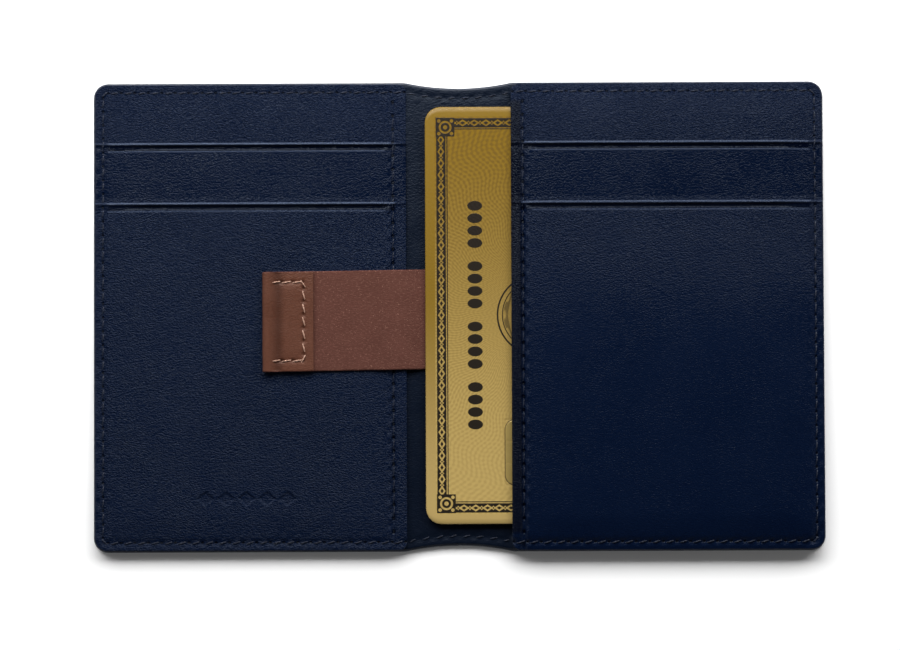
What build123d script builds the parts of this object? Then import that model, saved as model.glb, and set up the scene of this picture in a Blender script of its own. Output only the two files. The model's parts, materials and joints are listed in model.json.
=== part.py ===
from build123d import *
import math
import os

# A slim bifold wallet, open and lying on its outside, in millimetres. +Z is up, +Y is towards the
# slot mouths, and the origin is under the middle of the spine, on the face that the wallet rests on.
# From the table up it is an outer leather shell, an interlining, an inner lining, and on each half
# a stack of card-slot leathers that leaves a hidden pocket open towards the spine. The right-hand
# pocket holds a card on a strap, whose far end loops round the card, so that pulling the strap
# slides the card out at half the strap's speed. The spine is a soft strip that every layer under
# the card slots crosses. It is split from the two halves along the inner edges of their slots, and it
# bends along two lines, 3.15 mm to each side of its middle, a quarter turn at each.

# Wallet, open
open_width = 150.2
height = 96.5
corner_radius = 3.0
spine_width = 22.0
spine_dip = 1.2

# Layers, from the outside in
shell_thickness = 0.7
interlining_thickness = 0.2
lining_thickness = 0.4
sheet_thickness = 0.35
hem_width = 8.0
sheet_inset = 0.4

# Card slots
slot_step = 12.3
slot_leather_overlap = 15.0
crease_below_mouth = 1.5
crease_width = 0.5
crease_depth = 0.12

# Thread
stitch_inset = 2.05
stitch_pitch = 2.757
stitch_length = 1.2
thread_width = 0.4
thread_height = 0.15
mouth_stitch_inset = 2.4
stitch_groove_width = 0.7
stitch_groove_depth = 0.2

# Card and strap, in their pulled-out places
card_width = 53.98
card_height = 85.6
card_thickness = 0.76
card_corner_radius = 3.18
card_out = 17.9
card_y = 0.25
strap_out = 51.1
strap_width = 20.5
strap_thickness = 0.6
strap_y = -0.6
strap_fold_length = 10.4
strap_roll_width = 2.3
strap_roll_height = 1.45
strap_ramp_head = -11.3
strap_ramp_foot = -7.6
strap_inner_end = 24.0
strap_join = 36.0
strap_anchor_x = 14.0
slide_gap = 0.1

# The full pocket's raised middle
hill_margin = 2.8
hill_slope = 1.0
hill_wall = 1.05
hill_corner_radius = 2.5
pocket_clearance = 0.04

base_top = shell_thickness + interlining_thickness + lining_thickness
stack_x = spine_width / 2
upper_mouth = height / 2 - slot_step
front_mouth = height / 2 - 2 * slot_step
upper_leather_end = front_mouth - slot_leather_overlap
strap_bottom = base_top + slide_gap
strap_raised = base_top + 3 * sheet_thickness + thread_height + slide_gap
strap_top = strap_bottom + strap_thickness
card_bottom = strap_top + slide_gap
card_top = card_bottom + card_thickness
return_bottom = card_top + slide_gap
return_top = return_bottom + strap_thickness
pocket_ceiling = return_top + pocket_clearance
card_left = stack_x - card_out
strap_left = stack_x - strap_out
reach = 2 * open_width  # longer than anything here, for cutting

strap_plane = Plane(origin=(0, strap_y, 0), x_dir=(1, 0, 0), z_dir=(0, -1, 0))
dip_radius = (stack_x**2 + spine_dip**2) / (2 * spine_dip)


def wallet_outline(inset):
    """The open wallet from above: rounded corners, and edges that dip where the spine bends."""
    x = open_width / 2 - inset
    y = height / 2 - inset
    with BuildSketch() as outline:
        with BuildLine():
            Line((-x, -y), (-x, y))
            Line((-x, y), (-stack_x, y))
            ThreePointArc((-stack_x, y), (0, y - spine_dip), (stack_x, y))
            Line((stack_x, y), (x, y))
            Line((x, y), (x, -y))
            Line((x, -y), (stack_x, -y))
            ThreePointArc((stack_x, -y), (0, spine_dip - y), (-stack_x, -y))
            Line((-stack_x, -y), (-x, -y))
        make_face()
        by_x = outline.vertices().group_by(Axis.X)
        fillet(by_x[0] + by_x[-1], max(corner_radius - inset, 0.5))
    return outline.sketch


edge_outline = wallet_outline(0)
hem_outline = wallet_outline(hem_width)
sheet_outline = wallet_outline(sheet_inset)
groove_outer = wallet_outline(stitch_inset - stitch_groove_width / 2)
groove_inner = wallet_outline(stitch_inset + stitch_groove_width / 2)


def keep_between(x_low, x_high):
    """Cuts the sketch being drawn to the strip between two lines across the wallet."""
    with Locations(((x_low + x_high) / 2, 0)):
        Rectangle(x_high - x_low, reach, mode=Mode.INTERSECT)


def outer_shell(name, x_low, x_high):
    """Outer leather with its turned hem and the groove that the outside thread lies in."""
    with BuildPart() as shell:
        with BuildSketch():
            add(edge_outline)
            keep_between(x_low, x_high)
        extrude(amount=shell_thickness)
        with BuildSketch(Plane.XY.offset(shell_thickness)):
            add(edge_outline)
            add(hem_outline, mode=Mode.SUBTRACT)
            keep_between(x_low, x_high)
        extrude(amount=interlining_thickness)
        with BuildSketch():
            add(groove_outer)
            add(groove_inner, mode=Mode.SUBTRACT)
            keep_between(x_low, x_high)
        extrude(amount=stitch_groove_depth, mode=Mode.SUBTRACT)
    save(shell, name)


def interlining(name, x_low, x_high):
    """Non-woven filler that the shell's hem is turned over."""
    with BuildPart() as filler:
        with BuildSketch(Plane.XY.offset(shell_thickness)):
            add(hem_outline)
            keep_between(x_low, x_high)
        extrude(amount=interlining_thickness)
    save(filler, name)


def lining(name, x_low, x_high):
    """Inner leather, seen in the spine and at the back of the hidden pockets."""
    with BuildPart() as inner:
        with BuildSketch(Plane.XY.offset(shell_thickness + interlining_thickness)):
            add(sheet_outline)
            keep_between(x_low, x_high)
        extrude(amount=lining_thickness)
    save(inner, name)


def stack_solid(side, sheets, filled):
    """All the room up to the top of that many slot sheets, raised where the pocket behind is filled."""
    with BuildPart() as room:
        if sheets:
            with BuildSketch(Plane.XY.offset(base_top)):
                add(sheet_outline)
                keep_between(*sorted((side * stack_x, side * open_width)))
            extrude(amount=sheets * sheet_thickness)
        if filled:
            wall = sheets * hill_wall / 3
            for z, slope in ((base_top, 0), (pocket_ceiling + sheets * sheet_thickness, hill_slope)):
                x_far = open_width / 2 - sheet_inset - hill_margin - slope + wall
                y_far = height / 2 - sheet_inset - hill_margin - slope + wall
                with BuildSketch(Plane.XY.offset(z)) as level:
                    with Locations((side * (x_far + stack_x) / 2, 0)):
                        Rectangle(x_far - stack_x, 2 * y_far)
                    fillet(level.vertices().group_by(SortBy.DISTANCE)[-1], hill_corner_radius)
            loft()
    return room.part


def slot_sheet(name, side, number, filled, y_low, y_high, crease):
    """One leather of a slot stack, from the hidden pocket outwards, with a pressed line by its mouth."""
    under = number - 1
    with BuildPart() as sheet:
        add(stack_solid(side, number, filled))
        if under or filled:
            add(stack_solid(side, under, filled), mode=Mode.SUBTRACT)
        with Locations((0, (y_low + y_high) / 2, 0)):
            Box(reach, y_high - y_low, reach, mode=Mode.INTERSECT)
        if crease:
            top = (pocket_ceiling if filled else base_top) + number * sheet_thickness
            x_middle = side * (stack_x + open_width / 2) / 2
            long = open_width / 2 - stack_x - 4 * mouth_stitch_inset
            with Locations((x_middle, y_high - crease_below_mouth, top)):
                Box(long, crease_width, 2 * crease_depth, mode=Mode.SUBTRACT)
    save(sheet, name)


def slot_stack(side, word, filled):
    """The four sheets of one half: backing, upper slot leather, fabric divider and front leather."""
    foot = -height
    slot_sheet(f"slot_backing_{word}", side, 1, filled, foot, height, False)
    slot_sheet(f"card_slot_upper_{word}", side, 2, filled, upper_leather_end, upper_mouth, True)
    slot_sheet(f"slot_divider_{word}", side, 2, filled, foot, upper_leather_end, False)
    slot_sheet(f"card_slot_front_{word}", side, 3, filled, foot, front_mouth, True)


def dip_at(x):
    """How far the wallet's long edges are pulled in, and their slope in degrees, at that x."""
    if abs(x) > stack_x:
        return 0.0, 0.0
    rise = math.sqrt(dip_radius**2 - x**2)
    return spine_dip - (dip_radius - rise), math.degrees(math.asin(x / dip_radius))


def sheets_at(y):
    """How many slot sheets lie on top of each other at that height up the wallet."""
    return 1 + (y < upper_mouth) + (y < front_mouth)


def stitch_count(length):
    """An even number of stitches, so that none crosses from the spine on to a half."""
    return 2 * round(length / stitch_pitch / 2)


def perimeter_places(x_low, x_high):
    """Middle of each edge stitch between two lines across the wallet: x, y, angle, height inside."""
    turn_radius = corner_radius - stitch_inset
    cut_corner = turn_radius * (1 - math.sqrt(0.5))
    x_side = open_width / 2 - stitch_inset
    y_side = height / 2 - stitch_inset
    places = []
    run = 2 * (x_side - turn_radius)
    count = stitch_count(run)
    for i in range(count):
        x = (i + 0.5) * run / count - run / 2
        if x_low < x < x_high:
            drop, slope = dip_at(x)
            on_stack = abs(x) > stack_x
            for end in (-1, 1):
                y = end * (y_side - drop)
                z = base_top + sheets_at(y) * sheet_thickness * on_stack
                places.append((x, y, end * slope, z))
    run = 2 * (y_side - turn_radius)
    count = stitch_count(run)
    for side in (-1, 1):
        if x_low < side * x_side < x_high:
            for i in range(count):
                y = (i + 0.5) * run / count - run / 2
                z = base_top + sheets_at(y - stitch_length / 2) * sheet_thickness
                places.append((side * x_side, y, 90, z))
            for end in (-1, 1):
                y = end * (y_side - cut_corner)
                z = base_top + sheets_at(y) * sheet_thickness
                places.append((side * (x_side - cut_corner), y, -45 * side * end, z))
    return places


def edge_stitching(name, x_low, x_high):
    """The thread round the edge: one short run on the inside and one on the outside at each place."""
    places = perimeter_places(x_low, x_high)
    inside = [Location((x, y, z), (0, 0, turn)) for x, y, turn, z in places]
    outside_z = stitch_groove_depth - thread_height
    outside = [Location((x, y, outside_z), (0, 0, turn)) for x, y, turn, _ in places]
    with BuildPart() as thread:
        with Locations(*inside, *outside):
            Box(stitch_length, thread_width, thread_height, align=(Align.CENTER, Align.CENTER, Align.MIN))
    save(thread, name)


def mouth_stitching(name, side, filled):
    """The row that closes the slots' sides, beside the hidden pocket's mouth."""
    floor = pocket_ceiling if filled else base_top
    half = height / 2 - (3 if filled else 1.6) * hill_margin
    count = stitch_count(2 * half)
    with BuildPart() as thread:
        places = []
        for i in range(count):
            y = (i + 0.5) * 2 * half / count - half
            z = floor + sheets_at(y - stitch_length / 2) * sheet_thickness
            places.append((side * (stack_x + mouth_stitch_inset), y, z))
        with Locations(*places):
            Box(thread_width, stitch_length, thread_height, align=(Align.CENTER, Align.CENTER, Align.MIN))
    save(thread, name)


def card():
    """Bank-card blank, and the contact plate set flush in its face."""
    plate_length = 13.3
    plate_width = 11.8
    plate_thickness = 0.3
    plate_x = card_left + 16.3 + plate_width / 2
    plate_y = card_y - card_height / 2 + 8.0 + plate_length / 2
    with BuildPart() as blank:
        with BuildSketch(Plane.XY.offset(card_bottom)):
            with Locations((card_left + card_width / 2, card_y)):
                RectangleRounded(card_width, card_height, card_corner_radius)
        extrude(amount=card_thickness)
        with BuildSketch(Plane.XY.offset(card_top)):
            with Locations((plate_x, plate_y)):
                RectangleRounded(plate_width, plate_length, 2)
        extrude(amount=-plate_thickness, mode=Mode.SUBTRACT)
    save(blank, "card")
    with BuildPart() as plate:
        with BuildSketch(Plane.XY.offset(card_top - plate_thickness)):
            with Locations((plate_x, plate_y)):
                RectangleRounded(plate_width, plate_length, 2)
        extrude(amount=plate_thickness)
    save(plate, "card_contact_plate")


def strap_band():
    """The strap's run under the card and up on to the left half, its end folded over as a tab."""
    low = strap_bottom + strap_thickness / 2
    high = strap_raised + strap_thickness / 2
    roll = strap_roll_height / 2
    roll_x = strap_left + roll
    fold_top = strap_raised + 2 * strap_thickness
    tab_end = strap_left + strap_fold_length
    with BuildPart() as band:
        with BuildSketch(strap_plane):
            with BuildLine():
                Polyline(
                    (strap_inner_end, low),
                    (strap_ramp_foot, low),
                    (strap_ramp_head, high),
                    (tab_end - strap_roll_width, high),
                )
            trace(line_width=strap_thickness)
            with BuildLine():
                Line((tab_end, strap_raised), (roll_x, strap_raised))
                ThreePointArc(
                    (roll_x, strap_raised),
                    (strap_left, strap_raised + roll),
                    (roll_x, strap_raised + 2 * roll),
                )
                Polyline(
                    (roll_x, strap_raised + 2 * roll),
                    (strap_left + strap_roll_width, fold_top),
                    (tab_end, fold_top),
                    (tab_end, strap_raised),
                )
            make_face()
            with Locations((roll_x, strap_raised + roll)):
                Circle(roll - strap_thickness, mode=Mode.SUBTRACT)
        extrude(amount=strap_width / 2, both=True)
    save(band, "strap_band")


def strap_loop():
    """The part of the strap that turns round the card's far edge and moves with the card."""
    turn_x = card_left + card_width + slide_gap
    lower = strap_bottom + strap_thickness / 2
    upper = return_bottom + strap_thickness / 2
    turn = (upper - lower) / 2
    with BuildPart() as loop:
        with BuildSketch(strap_plane):
            with BuildLine():
                Line((strap_inner_end + slide_gap, lower), (turn_x, lower))
                ThreePointArc((turn_x, lower), (turn_x + turn, lower + turn), (turn_x, upper))
                Line((turn_x, upper), (strap_join + slide_gap, upper))
            trace(line_width=strap_thickness)
        extrude(amount=strap_width / 2, both=True)
    save(loop, "strap_loop")


def strap_anchor():
    """The strap's fixed end over the card, and the thread that sews it to the slot backing."""
    peg = 0.4
    pegs = [(strap_anchor_x + 1.5, strap_y + step) for step in (-7.5, -4.5, -1.5, 1.5, 4.5, 7.5)]
    low = return_bottom
    long = pocket_ceiling + sheet_thickness - low
    with BuildPart() as run:
        with Locations(((strap_anchor_x + strap_join) / 2, strap_y, return_bottom)):
            Box(
                strap_join - strap_anchor_x,
                strap_width,
                strap_thickness,
                align=(Align.CENTER, Align.CENTER, Align.MIN),
            )
        with Locations(*[(x, y, low) for x, y in pegs]):
            Box(peg, peg, long, align=(Align.CENTER, Align.CENTER, Align.MIN), mode=Mode.SUBTRACT)
    save(run, "strap_anchor")
    with BuildPart() as thread:
        with Locations(*[(x, y, low) for x, y in pegs]):
            Box(peg, peg, long, align=(Align.CENTER, Align.CENTER, Align.MIN))
    save(thread, "strap_anchor_stitching")


def strap_tab_stitching():
    """Thread across the rolled tab: two short rows and the long one between them."""
    fold_top = strap_raised + 2 * strap_thickness
    row_x = strap_left + strap_fold_length - 2.1
    half = strap_width / 2 - 2.6
    across = [(row_x, strap_y + (i - 2) * half / 2.5, fold_top, 90) for i in range(5)]
    along = [
        (row_x - 1.8 - i * stitch_pitch, strap_y + end * half, fold_top, 0)
        for end in (-1, 1)
        for i in range(2)
    ]
    with BuildPart() as thread:
        with Locations(*[Location((x, y, z), (0, 0, turn)) for x, y, z, turn in across + along]):
            Box(stitch_length, thread_width, thread_height, align=(Align.CENTER, Align.CENTER, Align.MIN))
    save(thread, "strap_tab_stitching")


def save(piece, name):
    piece.part.label = name
    export_step(piece.part, f"parts/{name}.step")


os.makedirs("parts", exist_ok=True)
sections = (
    ("left", -open_width, -stack_x),
    ("spine", -stack_x, stack_x),
    ("right", stack_x, open_width),
)
for word, x_low, x_high in sections:
    outer_shell(f"outer_shell_{word}", x_low, x_high)
    interlining(f"interlining_{word}", x_low, x_high)
    lining(f"lining_{word}", x_low, x_high)
    edge_stitching(f"edge_stitching_{word}", x_low, x_high)

slot_stack(-1, "left", False)
slot_stack(1, "right", True)
mouth_stitching("mouth_stitching_left", -1, False)
mouth_stitching("mouth_stitching_right", 1, True)
card()
strap_band()
strap_loop()
strap_anchor()
strap_tab_stitching()
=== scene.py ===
import json
import math

import bpy
import numpy as np
from mathutils import Euler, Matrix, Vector


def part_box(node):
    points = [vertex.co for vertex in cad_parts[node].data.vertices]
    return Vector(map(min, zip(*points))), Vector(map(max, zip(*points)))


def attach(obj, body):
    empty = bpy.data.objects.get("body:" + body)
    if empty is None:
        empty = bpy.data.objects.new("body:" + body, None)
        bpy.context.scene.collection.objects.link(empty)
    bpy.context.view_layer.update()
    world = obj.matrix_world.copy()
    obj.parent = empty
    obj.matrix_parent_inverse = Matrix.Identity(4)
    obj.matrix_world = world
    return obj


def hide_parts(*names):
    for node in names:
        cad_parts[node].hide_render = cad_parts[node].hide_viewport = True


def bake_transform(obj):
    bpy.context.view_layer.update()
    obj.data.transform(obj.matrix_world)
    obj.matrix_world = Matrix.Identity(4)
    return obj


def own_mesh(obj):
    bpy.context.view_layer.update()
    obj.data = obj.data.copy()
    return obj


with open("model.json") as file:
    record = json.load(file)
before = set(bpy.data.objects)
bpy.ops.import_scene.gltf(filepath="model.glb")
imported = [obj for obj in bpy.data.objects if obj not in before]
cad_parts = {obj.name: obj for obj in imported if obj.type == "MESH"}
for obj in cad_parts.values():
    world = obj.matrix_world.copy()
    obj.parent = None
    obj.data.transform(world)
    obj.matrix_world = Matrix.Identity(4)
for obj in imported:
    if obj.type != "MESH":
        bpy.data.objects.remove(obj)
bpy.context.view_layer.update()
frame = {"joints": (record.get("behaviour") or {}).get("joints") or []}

# A slim bifold wallet, open, seen from above. Lengths are millimetres until a mesh is made. Both halves
# are made from the same shapes: "u" is the distance from the spine's middle line, and side is 1 for the
# right half and -1 for the left half. Each layer that crosses the spine is two pieces that meet at u = 0.

MM = 0.001

# Places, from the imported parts


def corners(node):
    """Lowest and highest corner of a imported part, in millimetres."""
    low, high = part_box(node)
    return np.array(low) / MM, np.array(high) / MM


HALF_WIDTH, HALF_HEIGHT, _ = corners("outer_shell_right")[1]
STACK_U = corners("slot_backing_right")[0][0]
LINING_LOW, LINING_HIGH = corners("lining_right")
BASE_TOP = LINING_HIGH[2]
SHEET_INSET = HALF_WIDTH - LINING_HIGH[0]
SHELL_BASE = 0.7
HEM = HALF_WIDTH - corners("interlining_right")[1][0]
UPPER_MOUTH = corners("card_slot_upper_left")[1][1]
UPPER_END = corners("slot_divider_left")[1][1]
FRONT_MOUTH = corners("card_slot_front_left")[1][1]
SPINE_DIP = 1.2
CARD_LOW, CARD_HIGH = corners("card")
PLATE_LOW, PLATE_HIGH = corners("card_contact_plate")
BAND_LOW, BAND_HIGH = corners("strap_band")
LOOP_LOW, LOOP_HIGH = corners("strap_loop")
ANCHOR_LOW, ANCHOR_HIGH = corners("strap_anchor")
SEWN_LOW, SEWN_HIGH = corners("strap_anchor_stitching")
CARD_CORNER = 3.18
PLATE_CORNER = 2.0
CARD_BOTTOM = BASE_TOP + 0.56
CARD_TOP = CARD_BOTTOM + CARD_HIGH[2] - CARD_LOW[2]
FOLD_U = next(j for j in frame["joints"] if j["name"] == "spine_fold")["pos_m"][0] / MM

# Leather and thread

CORNER = 3.0
INNER_CORNER = 1.5
GAP = 0.02
RIM_STEPS = 5
SEAM_INSET = 2.05
MOUTH_SEAM_U = {1: STACK_U + 2.15, -1: STACK_U + 2.5}
STITCH_PITCH = 2.757
SLANT = 0.14
SEAM_TURN = CORNER - SEAM_INSET
RUN_X = 2 * (HALF_WIDTH - SEAM_INSET - SEAM_TURN)
RUN_Y = 2 * (HALF_HEIGHT - SEAM_INSET - SEAM_TURN)
BEND_REACH = 1.15
STRAP = 0.46
STRAP_HIDDEN = 0.2
STRAP_LEAN = 0.014
SHEET = 0.31
POCKET_RISE = 1.8
HILL_RUN = 3.9
HILL_CORNER = 8.0
HILL_START = 1.6
EMBLEM_U = 43.6
EMBLEM_Y = -37.2
TAB_LENGTH = 10.3
TAB_COLUMN = 2.0
TAB_ROW = 8.05
TAB_PITCH = 2.69
ROW_PITCH = 2.2
DIP_RADIUS = (STACK_U**2 + SPINE_DIP**2) / (2 * SPINE_DIP)


def stitch_count(length):
    """An even number of stitches, so that none crosses from one half on to the other."""
    return 2 * round(length / STITCH_PITCH / 2)


PITCH_X = RUN_X / stitch_count(RUN_X)
PITCH_Y = RUN_Y / stitch_count(RUN_Y)

# Colours of the card, lighter towards the bottom by a painted reflection, of the painted shade and painted
# highlights on the slot sheets, and the sky's strength at its sides and overhead

# The card's gold and its margin grow lighter towards the bottom: a painted reflection.
GOLD_TOP = (0.15, 0.086, 0.005)
GOLD_LOW_PAINTED_REFLECTION = (0.385, 0.275, 0.092)
GOLD_LINE = (0.075, 0.04, 0.004)
MARGIN_TOP = (0.155, 0.092, 0.009)
MARGIN_LOW_PAINTED_REFLECTION = (0.35, 0.25, 0.09)
CARD_INK = (0.012, 0.009, 0.006)
# The next colour is painted shade: the needle holes, the crease below each slot mouth and the strip between
# the mouths are darkened with it.
PAINTED_SHADE = (0.0002, 0.0006, 0.003)
# The next colour is a painted highlight along the lips of the slot mouths.
PAINTED_HIGHLIGHT = (0.026, 0.035, 0.06)
BLUE_GLOSS = (0.75, 0.86, 1.0)
BROWN_GLOSS = (1.0, 0.86, 0.76)
SKY_SIDE = 0.75
SKY_TOP = 0.03

# The camera

VIEW_WIDTH = 184.8
VIEW_CENTRE = (-1.85, -1.75, 1.5)
LENS = 120
SENSOR = 36
VIEW_TILT = 1.75
VIEW_ROLL = -0.22


# Shapes of a height field


def smooth(t):
    t = np.clip(t, 0, 1)
    return t * t * (3 - 2 * t)


def bump(distance, width):
    return np.exp(-((distance / width) ** 2))


def ripple(x, y, size, seed=0.0):
    """A soft uneven surface between about -1 and 1, with waves of roughly that size."""
    total = 0
    for i, turn in enumerate((0.3, 1.5, 2.6, 4.1, 5.2)):
        k = 2 * math.pi / size * (0.7 + 0.17 * i)
        total = total + np.sin(k * (x * math.cos(turn) + y * math.sin(turn)) + seed * (i + 1.7) + 1.3 * i)
    return total / 3


def spine_dip(u):
    """How far the long edges are pulled in, at a distance u from the middle of the spine."""
    u = np.minimum(np.abs(u), STACK_U)
    return SPINE_DIP - DIP_RADIUS + np.sqrt(DIP_RADIUS**2 - u**2)


def corner_drop(distance, radius):
    """How much a rounded corner takes off, at that distance from the corner's side."""
    inside = np.clip(radius - distance, 0, radius)
    return radius - np.sqrt(np.maximum(radius**2 - inside**2, 0))


def seam(u, y):
    """Signed distance outwards from the edge seam, and the place along it in stitches."""
    half_u = HALF_WIDTH - SEAM_INSET
    half_y = HALF_HEIGHT - SEAM_INSET - spine_dip(u)
    qx = u - (half_u - SEAM_TURN)
    qy = np.abs(y) - (half_y - SEAM_TURN)
    outside = np.hypot(np.maximum(qx, 0), np.maximum(qy, 0)) + np.minimum(np.maximum(qx, qy), 0) - SEAM_TURN
    along = np.where(qx > qy, y / PITCH_Y, u / PITCH_X)
    return outside, along


def pulled(u, y, mouth_seam_u=None):
    """How hard thread pulls the leather down, from 0 to about 1, and how it puckers next to it."""
    outside, along = seam(u, y)
    wave = np.cos(2 * math.pi * along)
    pull = bump(outside, 0.6) * (0.8 + 0.25 * wave)
    pucker = 0.12 * wave * (bump(outside - 0.9, 0.45) + 0.7 * bump(outside + 0.9, 0.45))
    if mouth_seam_u:
        beside = u - mouth_seam_u
        wave = np.cos(2 * math.pi * y / STITCH_PITCH)
        pull = np.maximum(pull, bump(beside, 0.5) * (1.1 + 0.3 * wave))
        pucker = pucker + 0.16 * wave * bump(beside - 0.7, 0.42) * smooth(-outside - 0.5)
    return pull, pucker


def from_outline(u, y):
    """Distance in from the wallet's edge, as if its corners were rounder than they are."""
    qx = u - (HALF_WIDTH - HILL_CORNER)
    qy = np.abs(y) - (HALF_HEIGHT - HILL_CORNER)
    outside = np.hypot(np.maximum(qx, 0), np.maximum(qy, 0)) + np.minimum(np.maximum(qx, qy), 0)
    return HILL_CORNER - outside


def pocket_hill(u, y):
    """From 0 at the wallet's edge to 1 over the middle of the full pocket."""
    return 1 - np.exp(-(np.maximum(from_outline(u, y), 0) + HILL_START) / HILL_RUN)


def mouth_edge_roll(u, side):
    """The rounding of the slot stack beside the spine, from 1 at its edge to 0."""
    reach = 1.7 if side > 0 else 0.8
    t = np.clip((u - STACK_U + 0.2) / reach, 0, 1)
    return 1 - np.sqrt(1 - (1 - t) ** 2)


def slot_surface(u, y, side, layer):
    """Height of the face between two slot sheets. Layer 0 is the pocket's ceiling, 3 the front."""
    seam_u = MOUTH_SEAM_U[side]
    pull, pucker = pulled(u, y, seam_u)
    inner = smooth((u - seam_u) / 6) * smooth(-seam(u, y)[0] / 6)
    z = BASE_TOP + GAP + layer * SHEET * (1 - 0.34 * pull)
    z = z + (0.1 + 0.05 * layer) * inner + 0.05 * inner * ripple(side * u, y, 26, side)
    z = z - layer * (0.17 if side > 0 else 0.09) * mouth_edge_roll(u, side)
    z = z + layer / 3 * pucker
    if side > 0:
        hill = pocket_hill(u, y)
        sag = 0.3 * bump(u - seam_u, 0.6) * layer / 3
        z = z + POCKET_RISE * hill - sag * hill
    return z


def mouth_hem(u, y, mouth_y, side):
    """The folded hem along a slot's mouth: a raised lip and, below it, a pressed crease."""
    below = mouth_y - y
    reach = smooth((u - MOUTH_SEAM_U[side] - 0.5 - 0.8 * np.clip(below - 1, 0, 1)) / 1.4)
    reach = reach * smooth((HALF_WIDTH - 5.5 - u) / 5)
    lip = 0.25 * bump(below - 0.4, 0.27)
    crease = -0.24 * smooth((below - 0.55) / 0.4) * smooth((1.74 - below) / 0.3)
    return lip + (crease + 0.05 * bump(below - 1.85, 0.2)) * reach


# Meshes


def half_name(side):
    return "right" if side > 0 else "left"


def spread(low, high, step, *dense):
    """Numbers from low to high, step apart, and closer together inside each (from, to, step)."""
    places = [low]
    while places[-1] < high - 1e-6:
        here = places[-1]
        near = [fine for start, end, fine in dense if start - step <= here < end]
        places.append(min(here + min([step, *near]), high))
    if places[-1] - places[-2] < 0.3 * step and len(places) > 2:
        del places[-2]
    return np.array(places)


def make_piece(name, points, faces, material, flat_points=None):
    """A mesh object from points in millimetres. Its map keeps where each point lies in the flat wallet."""
    mesh = bpy.data.meshes.new(name)
    mesh.from_pydata((np.asarray(points) * MM).tolist(), [], [tuple(f) for f in faces])
    mesh.validate()
    mesh.polygons.foreach_set("use_smooth", [True] * len(mesh.polygons))
    flat = np.asarray(points if flat_points is None else flat_points)[:, :2] / 100
    layer = mesh.uv_layers.new(name="rest")
    loops = np.zeros(len(mesh.loops), np.int32)
    mesh.loops.foreach_get("vertex_index", loops)
    layer.data.foreach_set("uv", flat[loops].astype(np.float32).ravel())
    mesh.materials.append(material)
    piece = bpy.data.objects.new(name, mesh)
    bpy.context.scene.collection.objects.link(piece)
    return piece


def settle(piece, node, body):
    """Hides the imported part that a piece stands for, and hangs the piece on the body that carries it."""
    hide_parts(node)
    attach(piece, body)


def quads_between(first, second, closed=True):
    """Faces between two rows of point numbers. They look out when the first is the upper row."""
    count = len(first)
    return [
        (first[i], second[i], second[(i + 1) % count], first[(i + 1) % count])
        for i in range(count if closed else count - 1)
    ]


def sheet_mesh(name, side, us, rows, limits, top, bottom, edge, material, rim_material=None):
    """A closed sheet with rounded edges. limits gives the lowest and highest y at each u, and rows are
    the shares of the way between them."""
    u, t = np.meshgrid(us, rows, indexing="ij")
    low, high = limits(u)
    y = low + (high - low) * t
    count_u, count_y = u.shape
    grid = np.arange(count_u * count_y).reshape(count_u, count_y)
    upper = np.stack([side * u, y, top(u, y)], -1).reshape(-1, 3)
    lower = np.stack([side * u, y, bottom(u, y)], -1).reshape(-1, 3)
    loop = np.concatenate([grid[:-1, 0], grid[-1, :-1], grid[:0:-1, -1], grid[0, :0:-1]])
    around = upper[loop]
    along = np.roll(around, -1, 0) - np.roll(around, 1, 0)
    outward = np.stack([along[:, 1], -along[:, 0]], -1) * side
    outward /= np.maximum(np.linalg.norm(outward, axis=1, keepdims=True), 1e-9)
    middle = (upper[loop, 2] + lower[loop, 2]) / 2
    half = (upper[loop, 2] - lower[loop, 2]) / 2
    points = [upper, lower]
    rings = [loop]
    for k in range(1, RIM_STEPS):
        turn = math.pi * k / RIM_STEPS
        ring = around.copy()
        ring[:, :2] += outward * edge * math.sin(turn)
        ring[:, 2] = middle + half * math.cos(turn)
        rings.append(len(upper) * 2 + (k - 1) * len(loop) + np.arange(len(loop)))
        points.append(ring)
    rings.append(loop + len(upper))
    a, b = grid[:-1, :-1].ravel(), grid[1:, :-1].ravel()
    c, d = grid[1:, 1:].ravel(), grid[:-1, 1:].ravel()
    faces = list(zip(a, b, c, d)) + [(p + len(upper), s + len(upper), r + len(upper), q + len(upper))
                                     for p, q, r, s in zip(a, b, c, d)]
    flat_faces = len(faces)
    for first, second in zip(rings, rings[1:]):
        faces += quads_between(first, second)
    if side < 0:
        faces = [f[::-1] for f in faces]
    piece = make_piece(name, np.concatenate(points), faces, material)
    if rim_material:
        piece.data.materials.append(rim_material)
        kinds = np.arange(len(faces)) >= flat_faces
        piece.data.polygons.foreach_set("material_index", kinds.astype(np.int32))
    return piece


def half_limits(inset, u_end, radius, u_start=None, inner_radius=0.0):
    """The y limits of a half's sheet with rounded outer corners and, if asked, rounded inner ones."""

    def limits(u):
        y = HALF_HEIGHT - inset - spine_dip(u) - corner_drop(u_end - u, radius)
        if u_start is not None:
            y = y - corner_drop(u - u_start, inner_radius)
        return -y, y

    return limits


def corner_steps(u_end, radius):
    """Places of columns that round an outer corner evenly."""
    return u_end - radius * (1 - np.cos(np.linspace(0, math.pi / 2, 9)))


def columns(u_start, u_end, step, radius, *dense, inner_radius=0.0):
    inner = u_start + inner_radius * (1 - np.cos(np.linspace(0, math.pi / 2, 6))) if inner_radius else []
    body = spread(u_start + inner_radius, u_end - radius, step, *dense)
    return np.unique(np.round(np.concatenate([inner, body, corner_steps(u_end, radius)]), 5))


def row_shares(y_low, y_high, step, *dense):
    """Shares of the height for rows at a step, closer inside each dense (from, to, step) in y."""
    ys = spread(y_low, y_high, step, *dense)
    return (ys - y_low) / (y_high - y_low)


# Shell, interlining and lining, each in two halves that meet in the middle of the spine


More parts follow.
